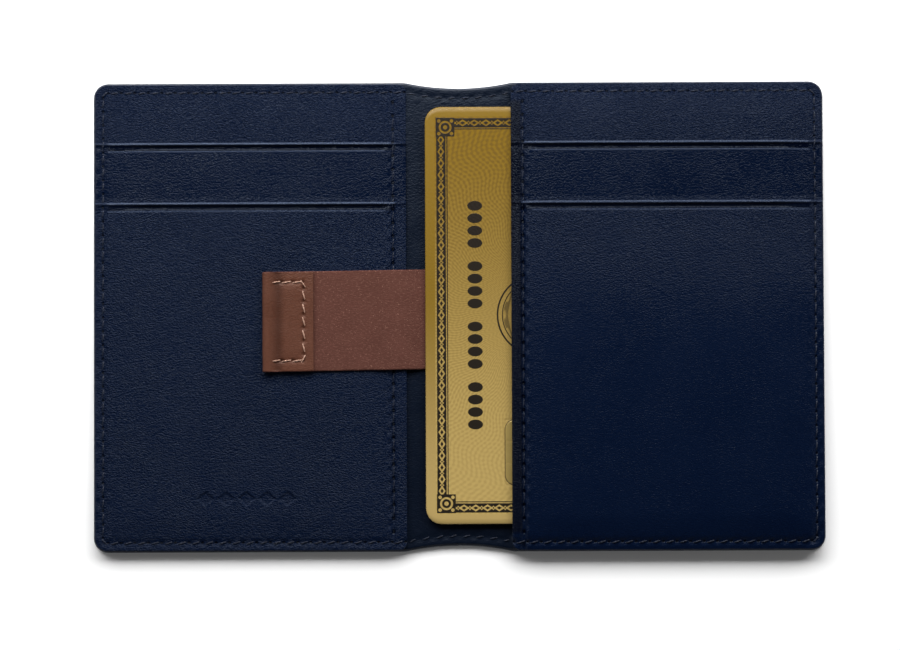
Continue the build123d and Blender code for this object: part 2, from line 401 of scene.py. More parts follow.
def bend_with_spine(piece, side):
    """Bakes a half's place into its mesh. It works out where the fold at FOLD_U begins and ends on this half,
    but does not bend it.
    """
    outer = (side * (FOLD_U + BEND_REACH) * MM, 0, 0)
    inner = (side * (FOLD_U - BEND_REACH) * MM, 0, 0)
    if side > 0:
        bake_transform(piece)
    else:
        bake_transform(piece)


FOLD_BAND = (FOLD_U - BEND_REACH, FOLD_U + BEND_REACH, 0.12)


def crossing_sheet(name, side, node, inset, edge, radius, top, bottom, step, fine, material, rim=None):
    us = columns(0.0, HALF_WIDTH - inset - edge, step, radius - edge, FOLD_BAND)
    fine_ends = (-HALF_HEIGHT, -HALF_HEIGHT + 4, fine), (HALF_HEIGHT - 4, HALF_HEIGHT, fine)
    rows = row_shares(-HALF_HEIGHT, HALF_HEIGHT, 2.5 * step, *fine_ends)
    limits = half_limits(inset + edge, HALF_WIDTH - inset - edge, radius - edge)
    piece = sheet_mesh(name, side, us, rows, limits, top, bottom, edge, material, rim)
    word = half_name(side)
    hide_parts(f"{node}_{word}", *([f"{node}_spine"] if side > 0 else []))
    bend_with_spine(piece, side)
    return piece


def make_shell(side, material, rim_material):
    def top(u, y):
        return SHELL_BASE + 0.2 - 0.12 * bump(HALF_WIDTH - u - 0.2, 0.6) + 0 * y

    def bottom(u, y):
        outside, along = seam(u, y)
        groove = 0.16 * bump(outside, 0.5) * (0.9 + 0.3 * np.cos(2 * math.pi * along))
        return groove + 0.015 * (1 + ripple(side * u, y, 30, 5)) * smooth(-outside / 4)

    word = half_name(side)
    return crossing_sheet(f"shell_{word}", side, "outer_shell", 0.0, 0.42, CORNER, top, bottom, 0.7, 0.4,
                          material, rim_material)


def make_interlining(side, material):
    word = half_name(side)
    return crossing_sheet(f"interlining_{word}_half", side, "interlining", HEM, 0.05, 0.6,
                          lambda u, y: SHELL_BASE + 0.18 + 0 * u, lambda u, y: SHELL_BASE + 0.02 + 0 * u,
                          3.0, 3.0, material)


def make_lining(side, material):
    def top(u, y):
        pull, pucker = pulled(u, y)
        crease = 0.07 * bump(u - FOLD_U, 0.9) + 0.05 * bump(u - 7.5, 0.7) * (1 + ripple(u, y, 17, 2)) / 2
        open_part = smooth((STACK_U + 1 - u) / 2)
        worn = 0.05 * ripple(side * u, y, 9, 3) + 0.03 * ripple(side * u, 0.35 * y, 4, 1)
        shown = (0.16 * pull - pucker * 0.8 + crease - worn * smooth(-seam(u, y)[0] / 3)) * open_part
        turned_in = smooth((3.4 - from_outline(u, y)) / 1.2) * (1 - open_part) * (side > 0)
        return BASE_TOP - shown + POCKET_RISE * pocket_hill(u, y) * turned_in

    def bottom(u, y):
        return LINING_LOW[2] + GAP + 0 * u

    word = half_name(side)
    return crossing_sheet(f"lining_{word}_half", side, "lining", SHEET_INSET, 0.18, CORNER - SHEET_INSET, top,
                          bottom, 0.6, 0.45, material)


# Card-slot sheets


def slot_sheet(name, side, node, layer, y_low, y_high, hem, shown_low, material):
    """One sheet of a slot stack. Its mesh is fine above shown_low, and coarse under other sheets."""
    edge = 0.17
    word = half_name(side)
    u_start = STACK_U + edge - 0.25
    u_end = HALF_WIDTH - SHEET_INSET - edge
    radius = CORNER - SHEET_INSET - edge
    edge_y = HALF_HEIGHT - SHEET_INSET - edge
    low, high = max(y_low + edge, -edge_y), min(y_high - edge, edge_y)

    def limits(u):
        least, most = half_limits(SHEET_INSET + edge, u_end, radius, u_start, INNER_CORNER)(u)
        return np.maximum(least, low), np.minimum(most, high)

    def face(u, y):
        z = slot_surface(u, y, side, layer)
        if hem:
            z = z + mouth_hem(u, y, y_high, side)
            z = z - 0.05 * bump(y_high - y - 1.1, 0.5) * ripple(u, y, 15, layer)
        if layer == 3 and side < 0:
            z = z - 0.22 * emblem(side * u, y)
        return z

    def back(u, y):
        return slot_surface(u, y, side, layer - 1) + GAP

    emblem_band = (EMBLEM_U - 11, EMBLEM_U + 11, 0.18)
    dense_u = [(STACK_U, MOUTH_SEAM_U[side] + 1.6, 0.2), (u_end - 4, u_end, 0.4)]
    dense_y = [(shown_low, high, 0.5), (high - 2.4, high, 0.14), (low, low + 4, 0.4)]
    if layer == 3 and side < 0:
        dense_u.append(emblem_band)
        dense_y.append((EMBLEM_Y - 2.2, EMBLEM_Y + 2.2, 0.18))
    us = columns(u_start, u_end, 0.6, radius, *dense_u, inner_radius=INNER_CORNER)
    rows = row_shares(low, high, 1.6, *dense_y)
    piece = sheet_mesh(name, side, us, rows, limits, face, back, edge, material)
    settle(piece, f"{node}_{word}", f"{word}_panel")
    return piece


def emblem(x, y):
    """A plain row of pressed lozenges, from 0 to 1."""
    spacing = 4.2
    across = x + EMBLEM_U
    nearest = np.clip(np.round(across / spacing), -2, 2) * spacing
    size = np.abs(across - nearest) / 1.75 + np.abs(y - EMBLEM_Y) / 1.45
    return smooth((1.12 - size) / 0.25)


def make_slots(side, leather, fabric):
    word = half_name(side)
    foot, head = -HALF_HEIGHT, HALF_HEIGHT
    slot_sheet(f"slot_backing_leather_{word}", side, "slot_backing", 1, foot, head, False, UPPER_MOUTH - 2,
               leather)
    slot_sheet(f"upper_slot_leather_{word}", side, "card_slot_upper", 2, UPPER_END, UPPER_MOUTH, True,
               FRONT_MOUTH - 2, leather)
    slot_sheet(f"divider_fabric_{word}", side, "slot_divider", 2, foot, UPPER_END, False, UPPER_END,
               fabric)
    slot_sheet(f"front_slot_leather_{word}", side, "card_slot_front", 3, foot, FRONT_MOUTH, True, foot,
               leather)


# Thread


def thread_stitches(name, places, material, length=1.75, radius=0.095, arch=0.15):
    """Two-ply stitches. Each place is x, y, z of the leather, the angle along the seam and 1 or -1 for up."""
    around, steps = 6, 10
    ts = np.linspace(-1, 1, steps + 1)
    points, faces, flat = [], [], []
    for x, y, z, angle, up in places:
        run = np.array([math.cos(angle), math.sin(angle), 0])
        across = np.array([-run[1], run[0], 0])
        rise = np.array([0, 0, up])
        for ply in range(2):
            first = len(points)
            for t in ts:
                twist = t * 3.6 + ply * math.pi
                taper = math.sqrt(max(1 - 0.75 * abs(t) ** 5, 0.05))
                offset = 0.62 * radius * taper
                centre = np.array([x, y, z]) + run * t * length / 2 + rise * (arch * (1 - t * t * 1.7) - 0.02)
                centre = centre + across * offset * math.cos(twist) + rise * offset * math.sin(twist)
                for k in range(around):
                    turn = 2 * math.pi * k / around
                    points.append(centre + radius * taper * (across * math.cos(turn) + rise * math.sin(turn)))
                    flat.append((x + t * length / 2, y + 0.3 * ply, 0))
            for i in range(steps):
                lower, upper = first + i * around, first + (i + 1) * around
                ring, following = range(lower, lower + around), range(upper, upper + around)
                faces += [f[::-1] if up > 0 else f for f in quads_between(list(following), list(ring))]
            last = first + steps * around
            start, end = tuple(range(first, first + around)), tuple(range(last, last + around))
            faces += [start[::-1], end] if up > 0 else [start, end[::-1]]
    return make_piece(name, points, faces, material, flat)


def edge_places(side):
    """Where the edge stitches of one half lie, inside and underneath."""
    places = []

    def add(u, y, angle, slant):
        stack = u > STACK_U - 0.3
        layer = 1 + (y < UPPER_MOUTH) + (y < FRONT_MOUTH)
        z = slot_surface(u, y, side, layer) if stack else BASE_TOP - 0.14
        places.append((side * u, y, float(z), side * angle + slant, 1))
        places.append((side * u, y, 0.42, side * angle + slant, -1))

    side_u = HALF_WIDTH - SEAM_INSET
    side_y = HALF_HEIGHT - SEAM_INSET
    for i in range(stitch_count(RUN_X) // 2):
        u = (i + 0.5) * PITCH_X
        tilt = math.asin(u / DIP_RADIUS) if u < STACK_U else 0.0
        for end in (-1, 1):
            add(u, end * (side_y - spine_dip(u)), end * tilt, 0.3 if end < 0 else SLANT)
    for i in range(stitch_count(RUN_Y)):
        add(side_u, (i + 0.5) * PITCH_Y - RUN_Y / 2, math.pi / 2, -SLANT)
    cut = SEAM_TURN * (1 - math.sqrt(0.5))
    for end in (-1, 1):
        add(side_u - cut, end * (side_y - cut), -end * math.pi / 4, 0.0)
    return places


def mouth_places(side):
    """The row of stitches beside the spine."""
    seam_u = np.float64(MOUTH_SEAM_U[side])
    reach = int((HALF_HEIGHT - 4.6) / STITCH_PITCH)
    places = []
    for i in range(-reach, reach):
        y = (i + 0.5) * STITCH_PITCH
        layer = 1 + (y < UPPER_MOUTH) + (y < FRONT_MOUTH)
        z = slot_surface(seam_u, np.float64(y), side, layer)
        places.append((side * seam_u, y, float(z), math.pi / 2 - SLANT, 1))
    return places


def make_threads(side, material):
    word = half_name(side)
    edge = thread_stitches(f"edge_thread_{word}", edge_places(side), material)
    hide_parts(f"edge_stitching_{word}", *(["edge_stitching_spine"] if side > 0 else []))
    bend_with_spine(edge, side)
    beside = thread_stitches(f"mouth_thread_{word}", mouth_places(side), material, radius=0.085, arch=0.06)
    settle(beside, f"mouth_stitching_{word}", f"{word}_panel")


# Strap


def smooth_path(controls, step=0.28):
    """A cubic B-spline near the given points, which also starts and ends on them."""
    p = np.array([controls[0], controls[0], *controls, controls[-1], controls[-1]], float)
    found = []
    for i in range(len(p) - 3):
        length = np.linalg.norm(p[i + 2] - p[i + 1])
        for t in np.linspace(0, 1, max(2, int(length / step)), endpoint=False):
            cubics = [(1 - t) ** 3, 3 * t**3 - 6 * t**2 + 4, -3 * t**3 + 3 * t**2 + 3 * t + 1, t**3]
            found.append(np.array(cubics) / 6 @ p[i:i + 4])
    found.append(p[-1])
    return np.array(found)


def no_relief(s, y):
    return 0 * y


def skived(x):
    """Share of the strap's thickness left at x: it is thinned where it runs on under the card."""
    return 1 - (1 - STRAP_HIDDEN / STRAP) * float(smooth((x + 6.5) / 6))


def ribbon(name, controls, centre_y, width, thickness, materials, lean=0.0, wavy=0.0, relief=no_relief,
           across=26, share=lambda x: 1.0):
    """A flat strap of leather with rounded edges that follows a path of x and z. Its two faces may be of
    two materials, and relief raises the second one, by the distance along the strap and y. share is how
    much of the thickness is left at an x."""
    path = smooth_path(controls)
    tangent = np.gradient(path, axis=0)
    tangent /= np.linalg.norm(tangent, axis=1, keepdims=True)
    normal = np.stack([-tangent[:, 1], tangent[:, 0]], -1)
    half = thickness / 2
    flat_half = width / 2 - half * 0.8
    turns = np.linspace(math.pi / 2, -math.pi / 2, RIM_STEPS + 1)
    ys = np.linspace(-flat_half, flat_half, across)
    section = [(y, half) for y in ys[:-1]]
    section += [(flat_half + 0.8 * half * math.cos(a), half * math.sin(a)) for a in turns]
    section += [(y, -half) for y in ys[::-1][1:-1]]
    section += [(-flat_half - 0.8 * half * math.cos(a), half * math.sin(a)) for a in turns[::-1]][:-1]
    section = np.array(section)
    arc = np.concatenate([[0], np.cumsum(np.linalg.norm(np.diff(path, axis=0), axis=1))])
    points, flat = [], []
    for (x, z), (nx, nz), s in zip(path, normal, arc):
        uneven = wavy * ripple(s, section[:, 0], 7, 2) * (np.abs(section[:, 1]) > 0.9 * half)
        at_rim = np.abs(section[:, 0]) >= flat_half
        frayed = wavy * 0.8 * ripple(s, np.sign(section[:, 0]) * 9, 5, 4) * at_rim
        lift = section[:, 1] + uneven - relief(s, section[:, 0]) * (section[:, 1] < -0.9 * half)
        lift = lift * share(x)
        y = centre_y + section[:, 0] + frayed * np.sign(section[:, 0]) + lean * min(x + 7, 0)
        points += list(np.stack([x + nx * lift, y, z + nz * lift], -1))
        flat += list(np.stack([np.full(len(section), s), section[:, 0], section[:, 0] * 0], -1))
    count = len(section)
    faces = []
    for i in range(len(path) - 1):
        first = list(range(i * count, (i + 1) * count))
        following = list(range((i + 1) * count, (i + 2) * count))
        faces += quads_between(first, following)
    last = (len(path) - 1) * count
    faces.append(tuple(range(count))[::-1])
    faces.append(tuple(range(last, last + count)))
    faces = [f[::-1] for f in faces]
    piece = make_piece(name, points, faces, materials[0], flat)
    if len(materials) > 1:
        piece.data.materials.append(materials[1])
        second_face = range(across + RIM_STEPS - 1, 2 * across + RIM_STEPS - 2)
        sides = count * (len(path) - 1)
        kinds = [int(i < sides and i % count in second_face) for i in range(len(piece.data.polygons))]
        piece.data.polygons.foreach_set("material_index", kinds)
    return piece


def tab_relief(s, y):
    """The folded end of the strap: a crease beside its roll, and thread pulled in along three sides."""
    column, row, reach = TAB_COLUMN, TAB_ROW, 7.6
    beside_row = np.hypot(np.abs(y) - row, max(column - s, s - reach, 0))
    beside_column = np.hypot(s - column, np.maximum(np.abs(y) - row, 0))
    in_row = beside_row < beside_column
    place = np.where(in_row, (s - column) / ROW_PITCH, y / TAB_PITCH + 0.5)
    hole = bump(np.minimum(beside_row, beside_column), 0.3) * (0.5 + 0.5 * np.cos(2 * math.pi * place)) ** 4
    groove = -0.1 * bump(np.minimum(beside_row, beside_column), 0.42) - 0.42 * hole
    pillow = 0.1 * smooth((s - column) / 2) * smooth((row - np.abs(y)) / 2) * smooth((reach - s) / 2)
    crease = -0.2 * bump(s - 7.7, 0.9)
    return (groove + pillow + crease) * float(s < 9.3)


STRAP_Y = (BAND_LOW[1] + BAND_HIGH[1]) / 2
STRAP_WIDTH = BAND_HIGH[1] - BAND_LOW[1]
HIDDEN_Z = BASE_TOP + 0.04 + STRAP_HIDDEN / 2
RETURN_Z = CARD_TOP + 0.03 + STRAP_HIDDEN / 2


def make_pull(materials, thread):
    """The strap's long run under the card, and its end folded over and sewn as a finger tab."""
    tip = BAND_LOW[0]
    low = BASE_TOP + 0.06 + STRAP / 2
    high = BAND_LOW[2] + 1.2 + STRAP / 2
    over = high + STRAP + 0.06
    route = [
        (tip + TAB_LENGTH, over), (tip + 7, over), (tip + 4.2, over), (tip + 2.8, over - 0.02),
        (tip + 1.9, over + 0.1), (tip + 1.2, over + 0.55), (tip + 0.2, over + 0.5), (tip - 0.05, over - 0.25),
        (tip + 0.3, high - 0.08), (tip + 1.2, high - 0.06), (tip + 3, high), (tip + 10, high),
        (tip + 20, high - 0.04), (-12.6, high - 0.05), (-11.2, high - 0.12), (-9.4, (high + low) / 2),
        (-7.7, low + 0.06), (-6.5, low), (-3, (low + HIDDEN_Z) / 2), (1, HIDDEN_Z),
        (BAND_HIGH[0] - 4, HIDDEN_Z), (BAND_HIGH[0], HIDDEN_Z),
    ]
    band = ribbon("pull_strap", route, STRAP_Y, STRAP_WIDTH, STRAP, materials, lean=STRAP_LEAN, wavy=0.03,
                  relief=tab_relief, across=90, share=skived)
    settle(band, "strap_band", "strap")
    column_x = tip + TAB_LENGTH - TAB_COLUMN
    top = over + STRAP / 2 - 0.06
    leaned = STRAP_Y + STRAP_LEAN * (column_x + 7)
    places = [(column_x, leaned + i * TAB_PITCH, top, math.pi / 2 + 0.28, 1) for i in range(-3, 4)]
    places[0] = (column_x - 0.1, leaned - 3.05 * TAB_PITCH + 0.5, top, math.pi / 2 - 0.5, 1)
    places[-1] = (column_x - 0.1, leaned + 3.05 * TAB_PITCH - 0.5, top, math.pi / 2 + 0.6, 1)
    places += [(column_x - (i + 0.6) * ROW_PITCH, leaned + end * TAB_ROW, top, 0.16, 1)
               for end in (-1, 1) for i in range(3)]
    stitches = thread_stitches("tab_thread", places, thread, length=1.9, radius=0.09, arch=0.13)
    settle(stitches, "strap_tab_stitching", "strap")
    for piece in (band, stitches):
        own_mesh(piece)


def make_turn(materials):
    """The strap's turn round the card's far edge."""
    far = LOOP_HIGH[0] - STRAP_HIDDEN / 2
    under = HIDDEN_Z + STRAP_HIDDEN + 0.04
    route = [(LOOP_LOW[0], under), (LOOP_LOW[0] + 8, under), (far - 3, under), (far - 1.1, under),
             (far - 0.2, under + 0.12), (far + 0.1, (under + RETURN_Z) / 2), (far - 0.2, RETURN_Z - 0.12),
             (far - 1.1, RETURN_Z), (far - 3, RETURN_Z), (ANCHOR_HIGH[0] + 0.1, RETURN_Z)]
    turn = ribbon("strap_turn", route, STRAP_Y, STRAP_WIDTH, STRAP_HIDDEN, materials)
    settle(turn, "strap_loop", "card")


def make_sewn_end(materials, thread):
    """The strap's fixed end over the card, with the stitches that hold it."""
    route = [(x, RETURN_Z) for x in (ANCHOR_LOW[0], (ANCHOR_LOW[0] + ANCHOR_HIGH[0]) / 2, ANCHOR_HIGH[0])]
    run = ribbon("strap_sewn_end", route, STRAP_Y, STRAP_WIDTH, STRAP_HIDDEN, materials)
    settle(run, "strap_anchor", "right_panel")
    sewn_x = (SEWN_LOW[0] + SEWN_HIGH[0]) / 2
    sewn_z = RETURN_Z + STRAP_HIDDEN / 2 - 0.03
    places = [(sewn_x, STRAP_Y + (i - 2.5) * 3, sewn_z, math.pi / 2, 1) for i in range(6)]
    sewn = thread_stitches("sewn_end_thread", places, thread, arch=0.05)
    settle(sewn, "strap_anchor_stitching", "right_panel")


# Card


def rounded_limits(low, high, radius):
    """The y limits of a rectangle with rounded corners."""

    def limits(x):
        drop = np.maximum(corner_drop(high[0] - x, radius), corner_drop(x - low[0], radius))
        return low[1] + drop, high[1] - drop

    return limits


def make_card(face_material, plate_material):
    edge = 0.16
    radius = CARD_CORNER - edge
    low, high = CARD_LOW + edge, CARD_HIGH - edge

    plate_middle = (PLATE_LOW + PLATE_HIGH) / 2
    plate_half = (PLATE_HIGH - PLATE_LOW) / 2

    def top(x, y):
        rim = np.minimum(np.minimum(x - low[0], high[0] - x), np.minimum(y - low[1], high[1] - y))
        beside, above = np.abs(x - plate_middle[0]), np.abs(y - plate_middle[1])
        inset = np.maximum(beside - plate_half[0], above - plate_half[1])
        return CARD_TOP - 0.03 * bump(rim, 0.25) - 0.09 * bump(inset, 0.13)

    xs = columns(low[0], high[0], 1.0, radius, (PLATE_LOW[0] - 1, PLATE_LOW[0] + 1, 0.1), inner_radius=radius)
    rows = row_shares(low[1], high[1], 1.0, (PLATE_LOW[1] - 1, PLATE_HIGH[1] + 1, 0.2))
    piece = sheet_mesh("bank_card_blank", 1, xs, rows, rounded_limits(low, high, radius), top,
                       lambda x, y: CARD_BOTTOM + 0 * x, edge, face_material)
    settle(piece, "card", "card")

    plate_edge = 0.06
    plate_radius = PLATE_CORNER - plate_edge
    p_low, p_high = PLATE_LOW + plate_edge, PLATE_HIGH - plate_edge

    def plate_top(x, y):
        cut = bump(np.abs(y - plate_middle[1]) - 2.2, 0.09) + bump(x - plate_middle[0] + 2.5, 0.09)
        return CARD_TOP + 0.02 - 0.05 * np.clip(cut, 0, 1)

    xs = columns(p_low[0], p_high[0], 0.2, plate_radius, inner_radius=plate_radius)
    rows = row_shares(p_low[1], p_high[1], 0.15)
    plate = sheet_mesh("contact_plate", 1, xs, rows, rounded_limits(p_low, p_high, plate_radius), plate_top,
                       lambda x, y: CARD_TOP - 0.3 + 0 * x, plate_edge, plate_material)
    settle(plate, "card_contact_plate", "card")


# Materials


class Field:
    """A number that varies over a surface. Sums and products of fields add the nodes that work them out."""

    def __init__(self, tree, socket):
        self.tree = tree
        self.socket = socket

    def math(self, operation, *others):
        node = self.tree.nodes.new("ShaderNodeMath")
        node.operation = operation
        for place, value in zip(node.inputs, (self, *others)):
            if isinstance(value, Field):
                self.tree.links.new(value.socket, place)
            else:
                place.default_value = value
        return Field(self.tree, node.outputs[0])

    def __add__(self, other):
        return self.math("ADD", other)

    def __sub__(self, other):
        return self.math("SUBTRACT", other)

    def __mul__(self, other):
        return self.math("MULTIPLY", other)

    def flipped(self):
        """One minus this."""
        return self.math("MULTIPLY_ADD", -1.0, 1.0)

    def size(self):
        return self.math("ABSOLUTE")

    def sine(self, period):
        return (self * (2 * math.pi / period)).math("SINE")

    def least(self, other):
        return self.math("MINIMUM", other)

    def most(self, other):
        return self.math("MAXIMUM", other)

    def from_nearest(self, period):
        """Distance from the middle of the nearest of the cells that repeat with that period."""
        return (self + period / 2).math("WRAP", period, 0.0) - period / 2

    def ramp(self, low, high):
        """From 0 at low to 1 at high, smoothly."""
        node = self.tree.nodes.new("ShaderNodeMapRange")
        node.interpolation_type = "SMOOTHSTEP"
        self.tree.links.new(self.socket, node.inputs["Value"])
        node.inputs["From Min"].default_value = low
        node.inputs["From Max"].default_value = high
        return Field(self.tree, node.outputs["Result"])


def distance(a, b):
    return (a * a + b * b).math("SQRT")


class Surface:
    """A material whose patterns lie on the flat leather, in millimetres, so they bend with it."""

    def __init__(self, name, **constants):
        self.material = bpy.data.materials.new(name)
        self.material.use_nodes = True
        self.tree = self.material.node_tree
        self.shader = self.tree.nodes["Principled BSDF"]
        for socket, value in constants.items():
            self.shader.inputs[socket.replace("_", " ")].default_value = value
        place = self.tree.nodes.new("ShaderNodeUVMap")
        place.uv_map = "rest"
        self.flat = self.scaled(place.outputs["UV"], (100, 100))
        parts = self.tree.nodes.new("ShaderNodeSeparateXYZ")
        self.tree.links.new(self.flat, parts.inputs[0])
        self.x = Field(self.tree, parts.outputs["X"])
        self.y = Field(self.tree, parts.outputs["Y"])

    def scaled(self, vector, stretch, turn=0.0):
        node = self.tree.nodes.new("ShaderNodeMapping")
        node.inputs["Rotation"].default_value = (0, 0, turn)
        node.inputs["Scale"].default_value = (*stretch, 1)
        self.tree.links.new(vector, node.inputs["Vector"])
        return node.outputs["Vector"]

    def noise(self, size, detail=2.0, stretch=(1, 1), turn=0.0, distortion=0.0):
        """Soft noise between 0 and 1, with lumps of about that size."""
        node = self.tree.nodes.new("ShaderNodeTexNoise")
        self.tree.links.new(self.scaled(self.flat, stretch, turn), node.inputs["Vector"])
        node.inputs["Scale"].default_value = 1 / size
        node.inputs["Detail"].default_value = detail
        node.inputs["Distortion"].default_value = distortion
        return Field(self.tree, node.outputs["Fac"])

    def cells(self, size, feature="F1", stretch=(1, 1), turn=0.0):
        """Distance in cells from the middle of a grain cell, or from its edge."""
        node = self.tree.nodes.new("ShaderNodeTexVoronoi")
        node.feature = feature
        self.tree.links.new(self.scaled(self.flat, stretch, turn), node.inputs["Vector"])
        node.inputs["Scale"].default_value = 1 / size
        return Field(self.tree, node.outputs["Distance"])

    def mix(self, share, first, second):
        """A colour between two others, each a colour or what an earlier mix returned."""
        node = self.tree.nodes.new("ShaderNodeMix")
        node.data_type = "RGBA"
        self.tree.links.new(share.socket, node.inputs["Factor"])
        for place, colour in ((node.inputs[6], first), (node.inputs[7], second)):
            if isinstance(colour, tuple):
                place.default_value = (*colour, 1)
            else:
                self.tree.links.new(colour, place)
        return node.outputs[2]

    def finish(self, colour, roughness, relief, depth):
        """Sets the colour, the roughness field, and a relief of that depth in millimetres."""
        self.tree.links.new(colour, self.shader.inputs["Base Color"])
        self.tree.links.new(roughness.socket, self.shader.inputs["Roughness"])
        bump_node = self.tree.nodes.new("ShaderNodeBump")
        bump_node.inputs["Distance"].default_value = depth * MM
        self.tree.links.new(relief.socket, bump_node.inputs["Height"])
        self.tree.links.new(bump_node.outputs["Normal"], self.shader.inputs["Normal"])
        return self.material


def needle_holes(s):
    """The holes that the edge seams and the seams beside the spine leave, from 0 to 1."""
    side_u = HALF_WIDTH - SEAM_INSET
    side_y = HALF_HEIGHT - SEAM_INSET
    x_run = s.x.size().ramp(RUN_X / 2 + 0.3, RUN_X / 2)
    y_run = s.y.size().ramp(RUN_Y / 2 + 0.3, RUN_Y / 2)
    beside = s.x.ramp(-0.1, 0.1) * (MOUTH_SEAM_U[1] - MOUTH_SEAM_U[-1]) + MOUTH_SEAM_U[-1]
    long_side = distance((s.y.size() - side_y) * 1.5, s.x.from_nearest(PITCH_X)).ramp(0.5, 0.16) * x_run
    short_side = distance((s.x.size() - side_u) * 1.5, s.y.from_nearest(PITCH_Y)).ramp(0.5, 0.16) * y_run
    inner = distance((s.x.size() - beside) * 1.3, s.y.from_nearest(STITCH_PITCH)).ramp(0.6, 0.2) * y_run
    return long_side.most(short_side).most(inner)


def painted_mouth_lines(s):
    """Painted highlights on the two lips along each slot's mouth, where they face the light, and painted
    shade in the crease between them.
    """
    spread_u = s.x.size().ramp(HALF_WIDTH - 2.6, HALF_WIDTH - 3.6)
    upper_reach = s.x.size().ramp(STACK_U + 1.6, STACK_U + 2.4) * (spread_u * 0.7 + 0.3)
    lower_reach = s.x.size().ramp(STACK_U + 3.6, STACK_U + 4.8) * spread_u
    painted_highlight_mask, dark = None, None
    for mouth in (UPPER_MOUTH, FRONT_MOUTH):
        below = s.y * -1.0 + float(mouth)
        lip = (below - 0.3).size().ramp(0.3, 0.1) * upper_reach
        ridge = (below - 1.9).size().ramp(0.24, 0.08) * lower_reach * 0.8
        crease = (below - 1.15).size().ramp(0.64, 0.44) * upper_reach
        painted_highlight_mask = lip.most(ridge).most(painted_highlight_mask) if painted_highlight_mask else lip.most(ridge)
        dark = crease.most(dark) if dark else crease
    return painted_highlight_mask, dark


def leather(name, dark, light, grain, depth, rough, specular, gloss, band=None, slots=False):
    """Smooth-grained calf leather: small pebbles, finer creases across them and soft changes in tone.
    gloss is the tone of its highlights. band is a strip from one x to another, with soft sides, given another
    tone: on the strap it darkens the crease beside the tab's roll, which is painted shade, and on the slot
    sheets it makes the lip beside the spine darker and greyer.
    slots adds the needle holes and the two lines along each slot mouth, with painted shade in the holes and
    in the crease between the lines, and a painted highlight on the lines.
    It also adds a strip between the mouths that is made less rough and darkened as painted shade."""
    s = Surface(name, Specular_IOR_Level=specular, Specular_Tint=(*gloss, 1.0))
    pebbles = s.cells(grain, stretch=(0.9, 1.4), turn=0.1)
    creases = s.cells(1.9 * grain, "DISTANCE_TO_EDGE", (0.75, 1.35), 0.25).ramp(0, 0.13)
    wrinkles = s.noise(1.1 * grain, 3, (0.7, 1.7), -0.12, 0.6)
    pores = s.noise(0.3 * grain, 1)
    tone = s.noise(16, 3)
    low = s.y.ramp(32, -8)
    taut = low * (s.x.ramp(-25, 25) * 0.5 + 0.3)
    patches = (s.noise(11, 1).ramp(0.25, 0.75) * 0.3 + 0.75) * taut.flipped()
    relief = (pebbles * -0.65 + creases * 0.3 + wrinkles * 0.6) * patches + pores * 0.12
    share = tone * 0.55 + creases * 0.25 + wrinkles * 0.3
    roughness = (pebbles * 0.12 + tone * 0.12 + pores * 0.06) + (rough - 0.13)
    colour = s.mix(share, dark, light)
    if band:
        # The band's colour: on the strap it darkens the crease beside the tab's roll as painted shade; on the
        # slot sheets it makes the lip beside the spine darker and greyer.
        start, end, soft, worn = band
        strip = s.x.ramp(start - soft, start + soft) * s.x.ramp(end + soft, end - soft)
        colour = s.mix(strip * s.y.size().ramp(44.8, 43.8) * 0.8, colour, worn)
    if slots:
        holes = needle_holes(s)
        painted_highlight_mask, crease = painted_mouth_lines(s)
        # Between the two mouths the leather is made less rough, and darkened as painted shade.
        polished_and_shaded = s.y.ramp(FRONT_MOUTH + 0.2, FRONT_MOUTH + 1) * s.y.ramp(UPPER_MOUTH, UPPER_MOUTH - 1)
        colour = s.mix(polished_and_shaded * 0.25, colour, PAINTED_SHADE)
        # The crease below each mouth is darkened: painted shade.
        colour = s.mix(crease * 0.75, colour, PAINTED_SHADE)
        # The two lips along each mouth are made lighter: painted highlight.
        colour = s.mix(painted_highlight_mask * 0.9, colour, PAINTED_HIGHLIGHT)
        # The needle holes are darkened: painted shade.
        colour = s.mix(holes, colour, PAINTED_SHADE)
        relief = (relief - holes * 0.6) * (painted_highlight_mask.most(crease) * 0.8).most(polished_and_shaded * 0.66).flipped()
        roughness = roughness - polished_and_shaded * 0.1 - painted_highlight_mask * 0.08
    return s.finish(colour, roughness, relief, depth)


def flesh_side(name, dark, light, fibre):
    """The suede back of the strap: matte, with short pale fibres lying across it."""
    s = Surface(name, Specular_IOR_Level=0.12)
    nap = s.noise(0.5, 4, (0.8, 1.2))
    clumps = s.noise(4.5, 2)
    specks = s.cells(0.4, stretch=(1.3, 0.75), turn=0.7).ramp(0.34, 0.06)
    sparse = s.noise(0.7, 3).ramp(0.42, 0.68)
    fibres = s.noise(0.3, 2, (0.5, 1.5), 0.6).ramp(0.5, 0.72)
    pale = (specks * sparse * 0.8 + fibres * 0.22).least(1.0)
    body = s.mix(clumps * 0.6 + nap * 0.4, dark, light)
    relief = nap + specks * 0.5 * sparse + fibres * 0.3
    return s.finish(s.mix(pale, body, fibre), nap * 0.15 + 0.75, relief, 0.09)


def cloth(name, dark, light, pitch, depth, twill):
    """A fine woven cloth. twill is how far the weave runs on the slant."""
    s = Surface(name, Specular_IOR_Level=0.2, Sheen_Weight=0.15)
    warp = (s.x + s.y * twill).sine(pitch)
    weft = (s.y - s.x * twill * 0.3).sine(pitch)
    fuzz = s.noise(pitch, 3)
    weave = warp * weft * 0.5 + 0.5
    colour = s.mix(weave * 0.7 + fuzz * 0.3, dark, light)
    return s.finish(colour, fuzz * 0.2 + 0.65, weave + fuzz * 0.5, depth)


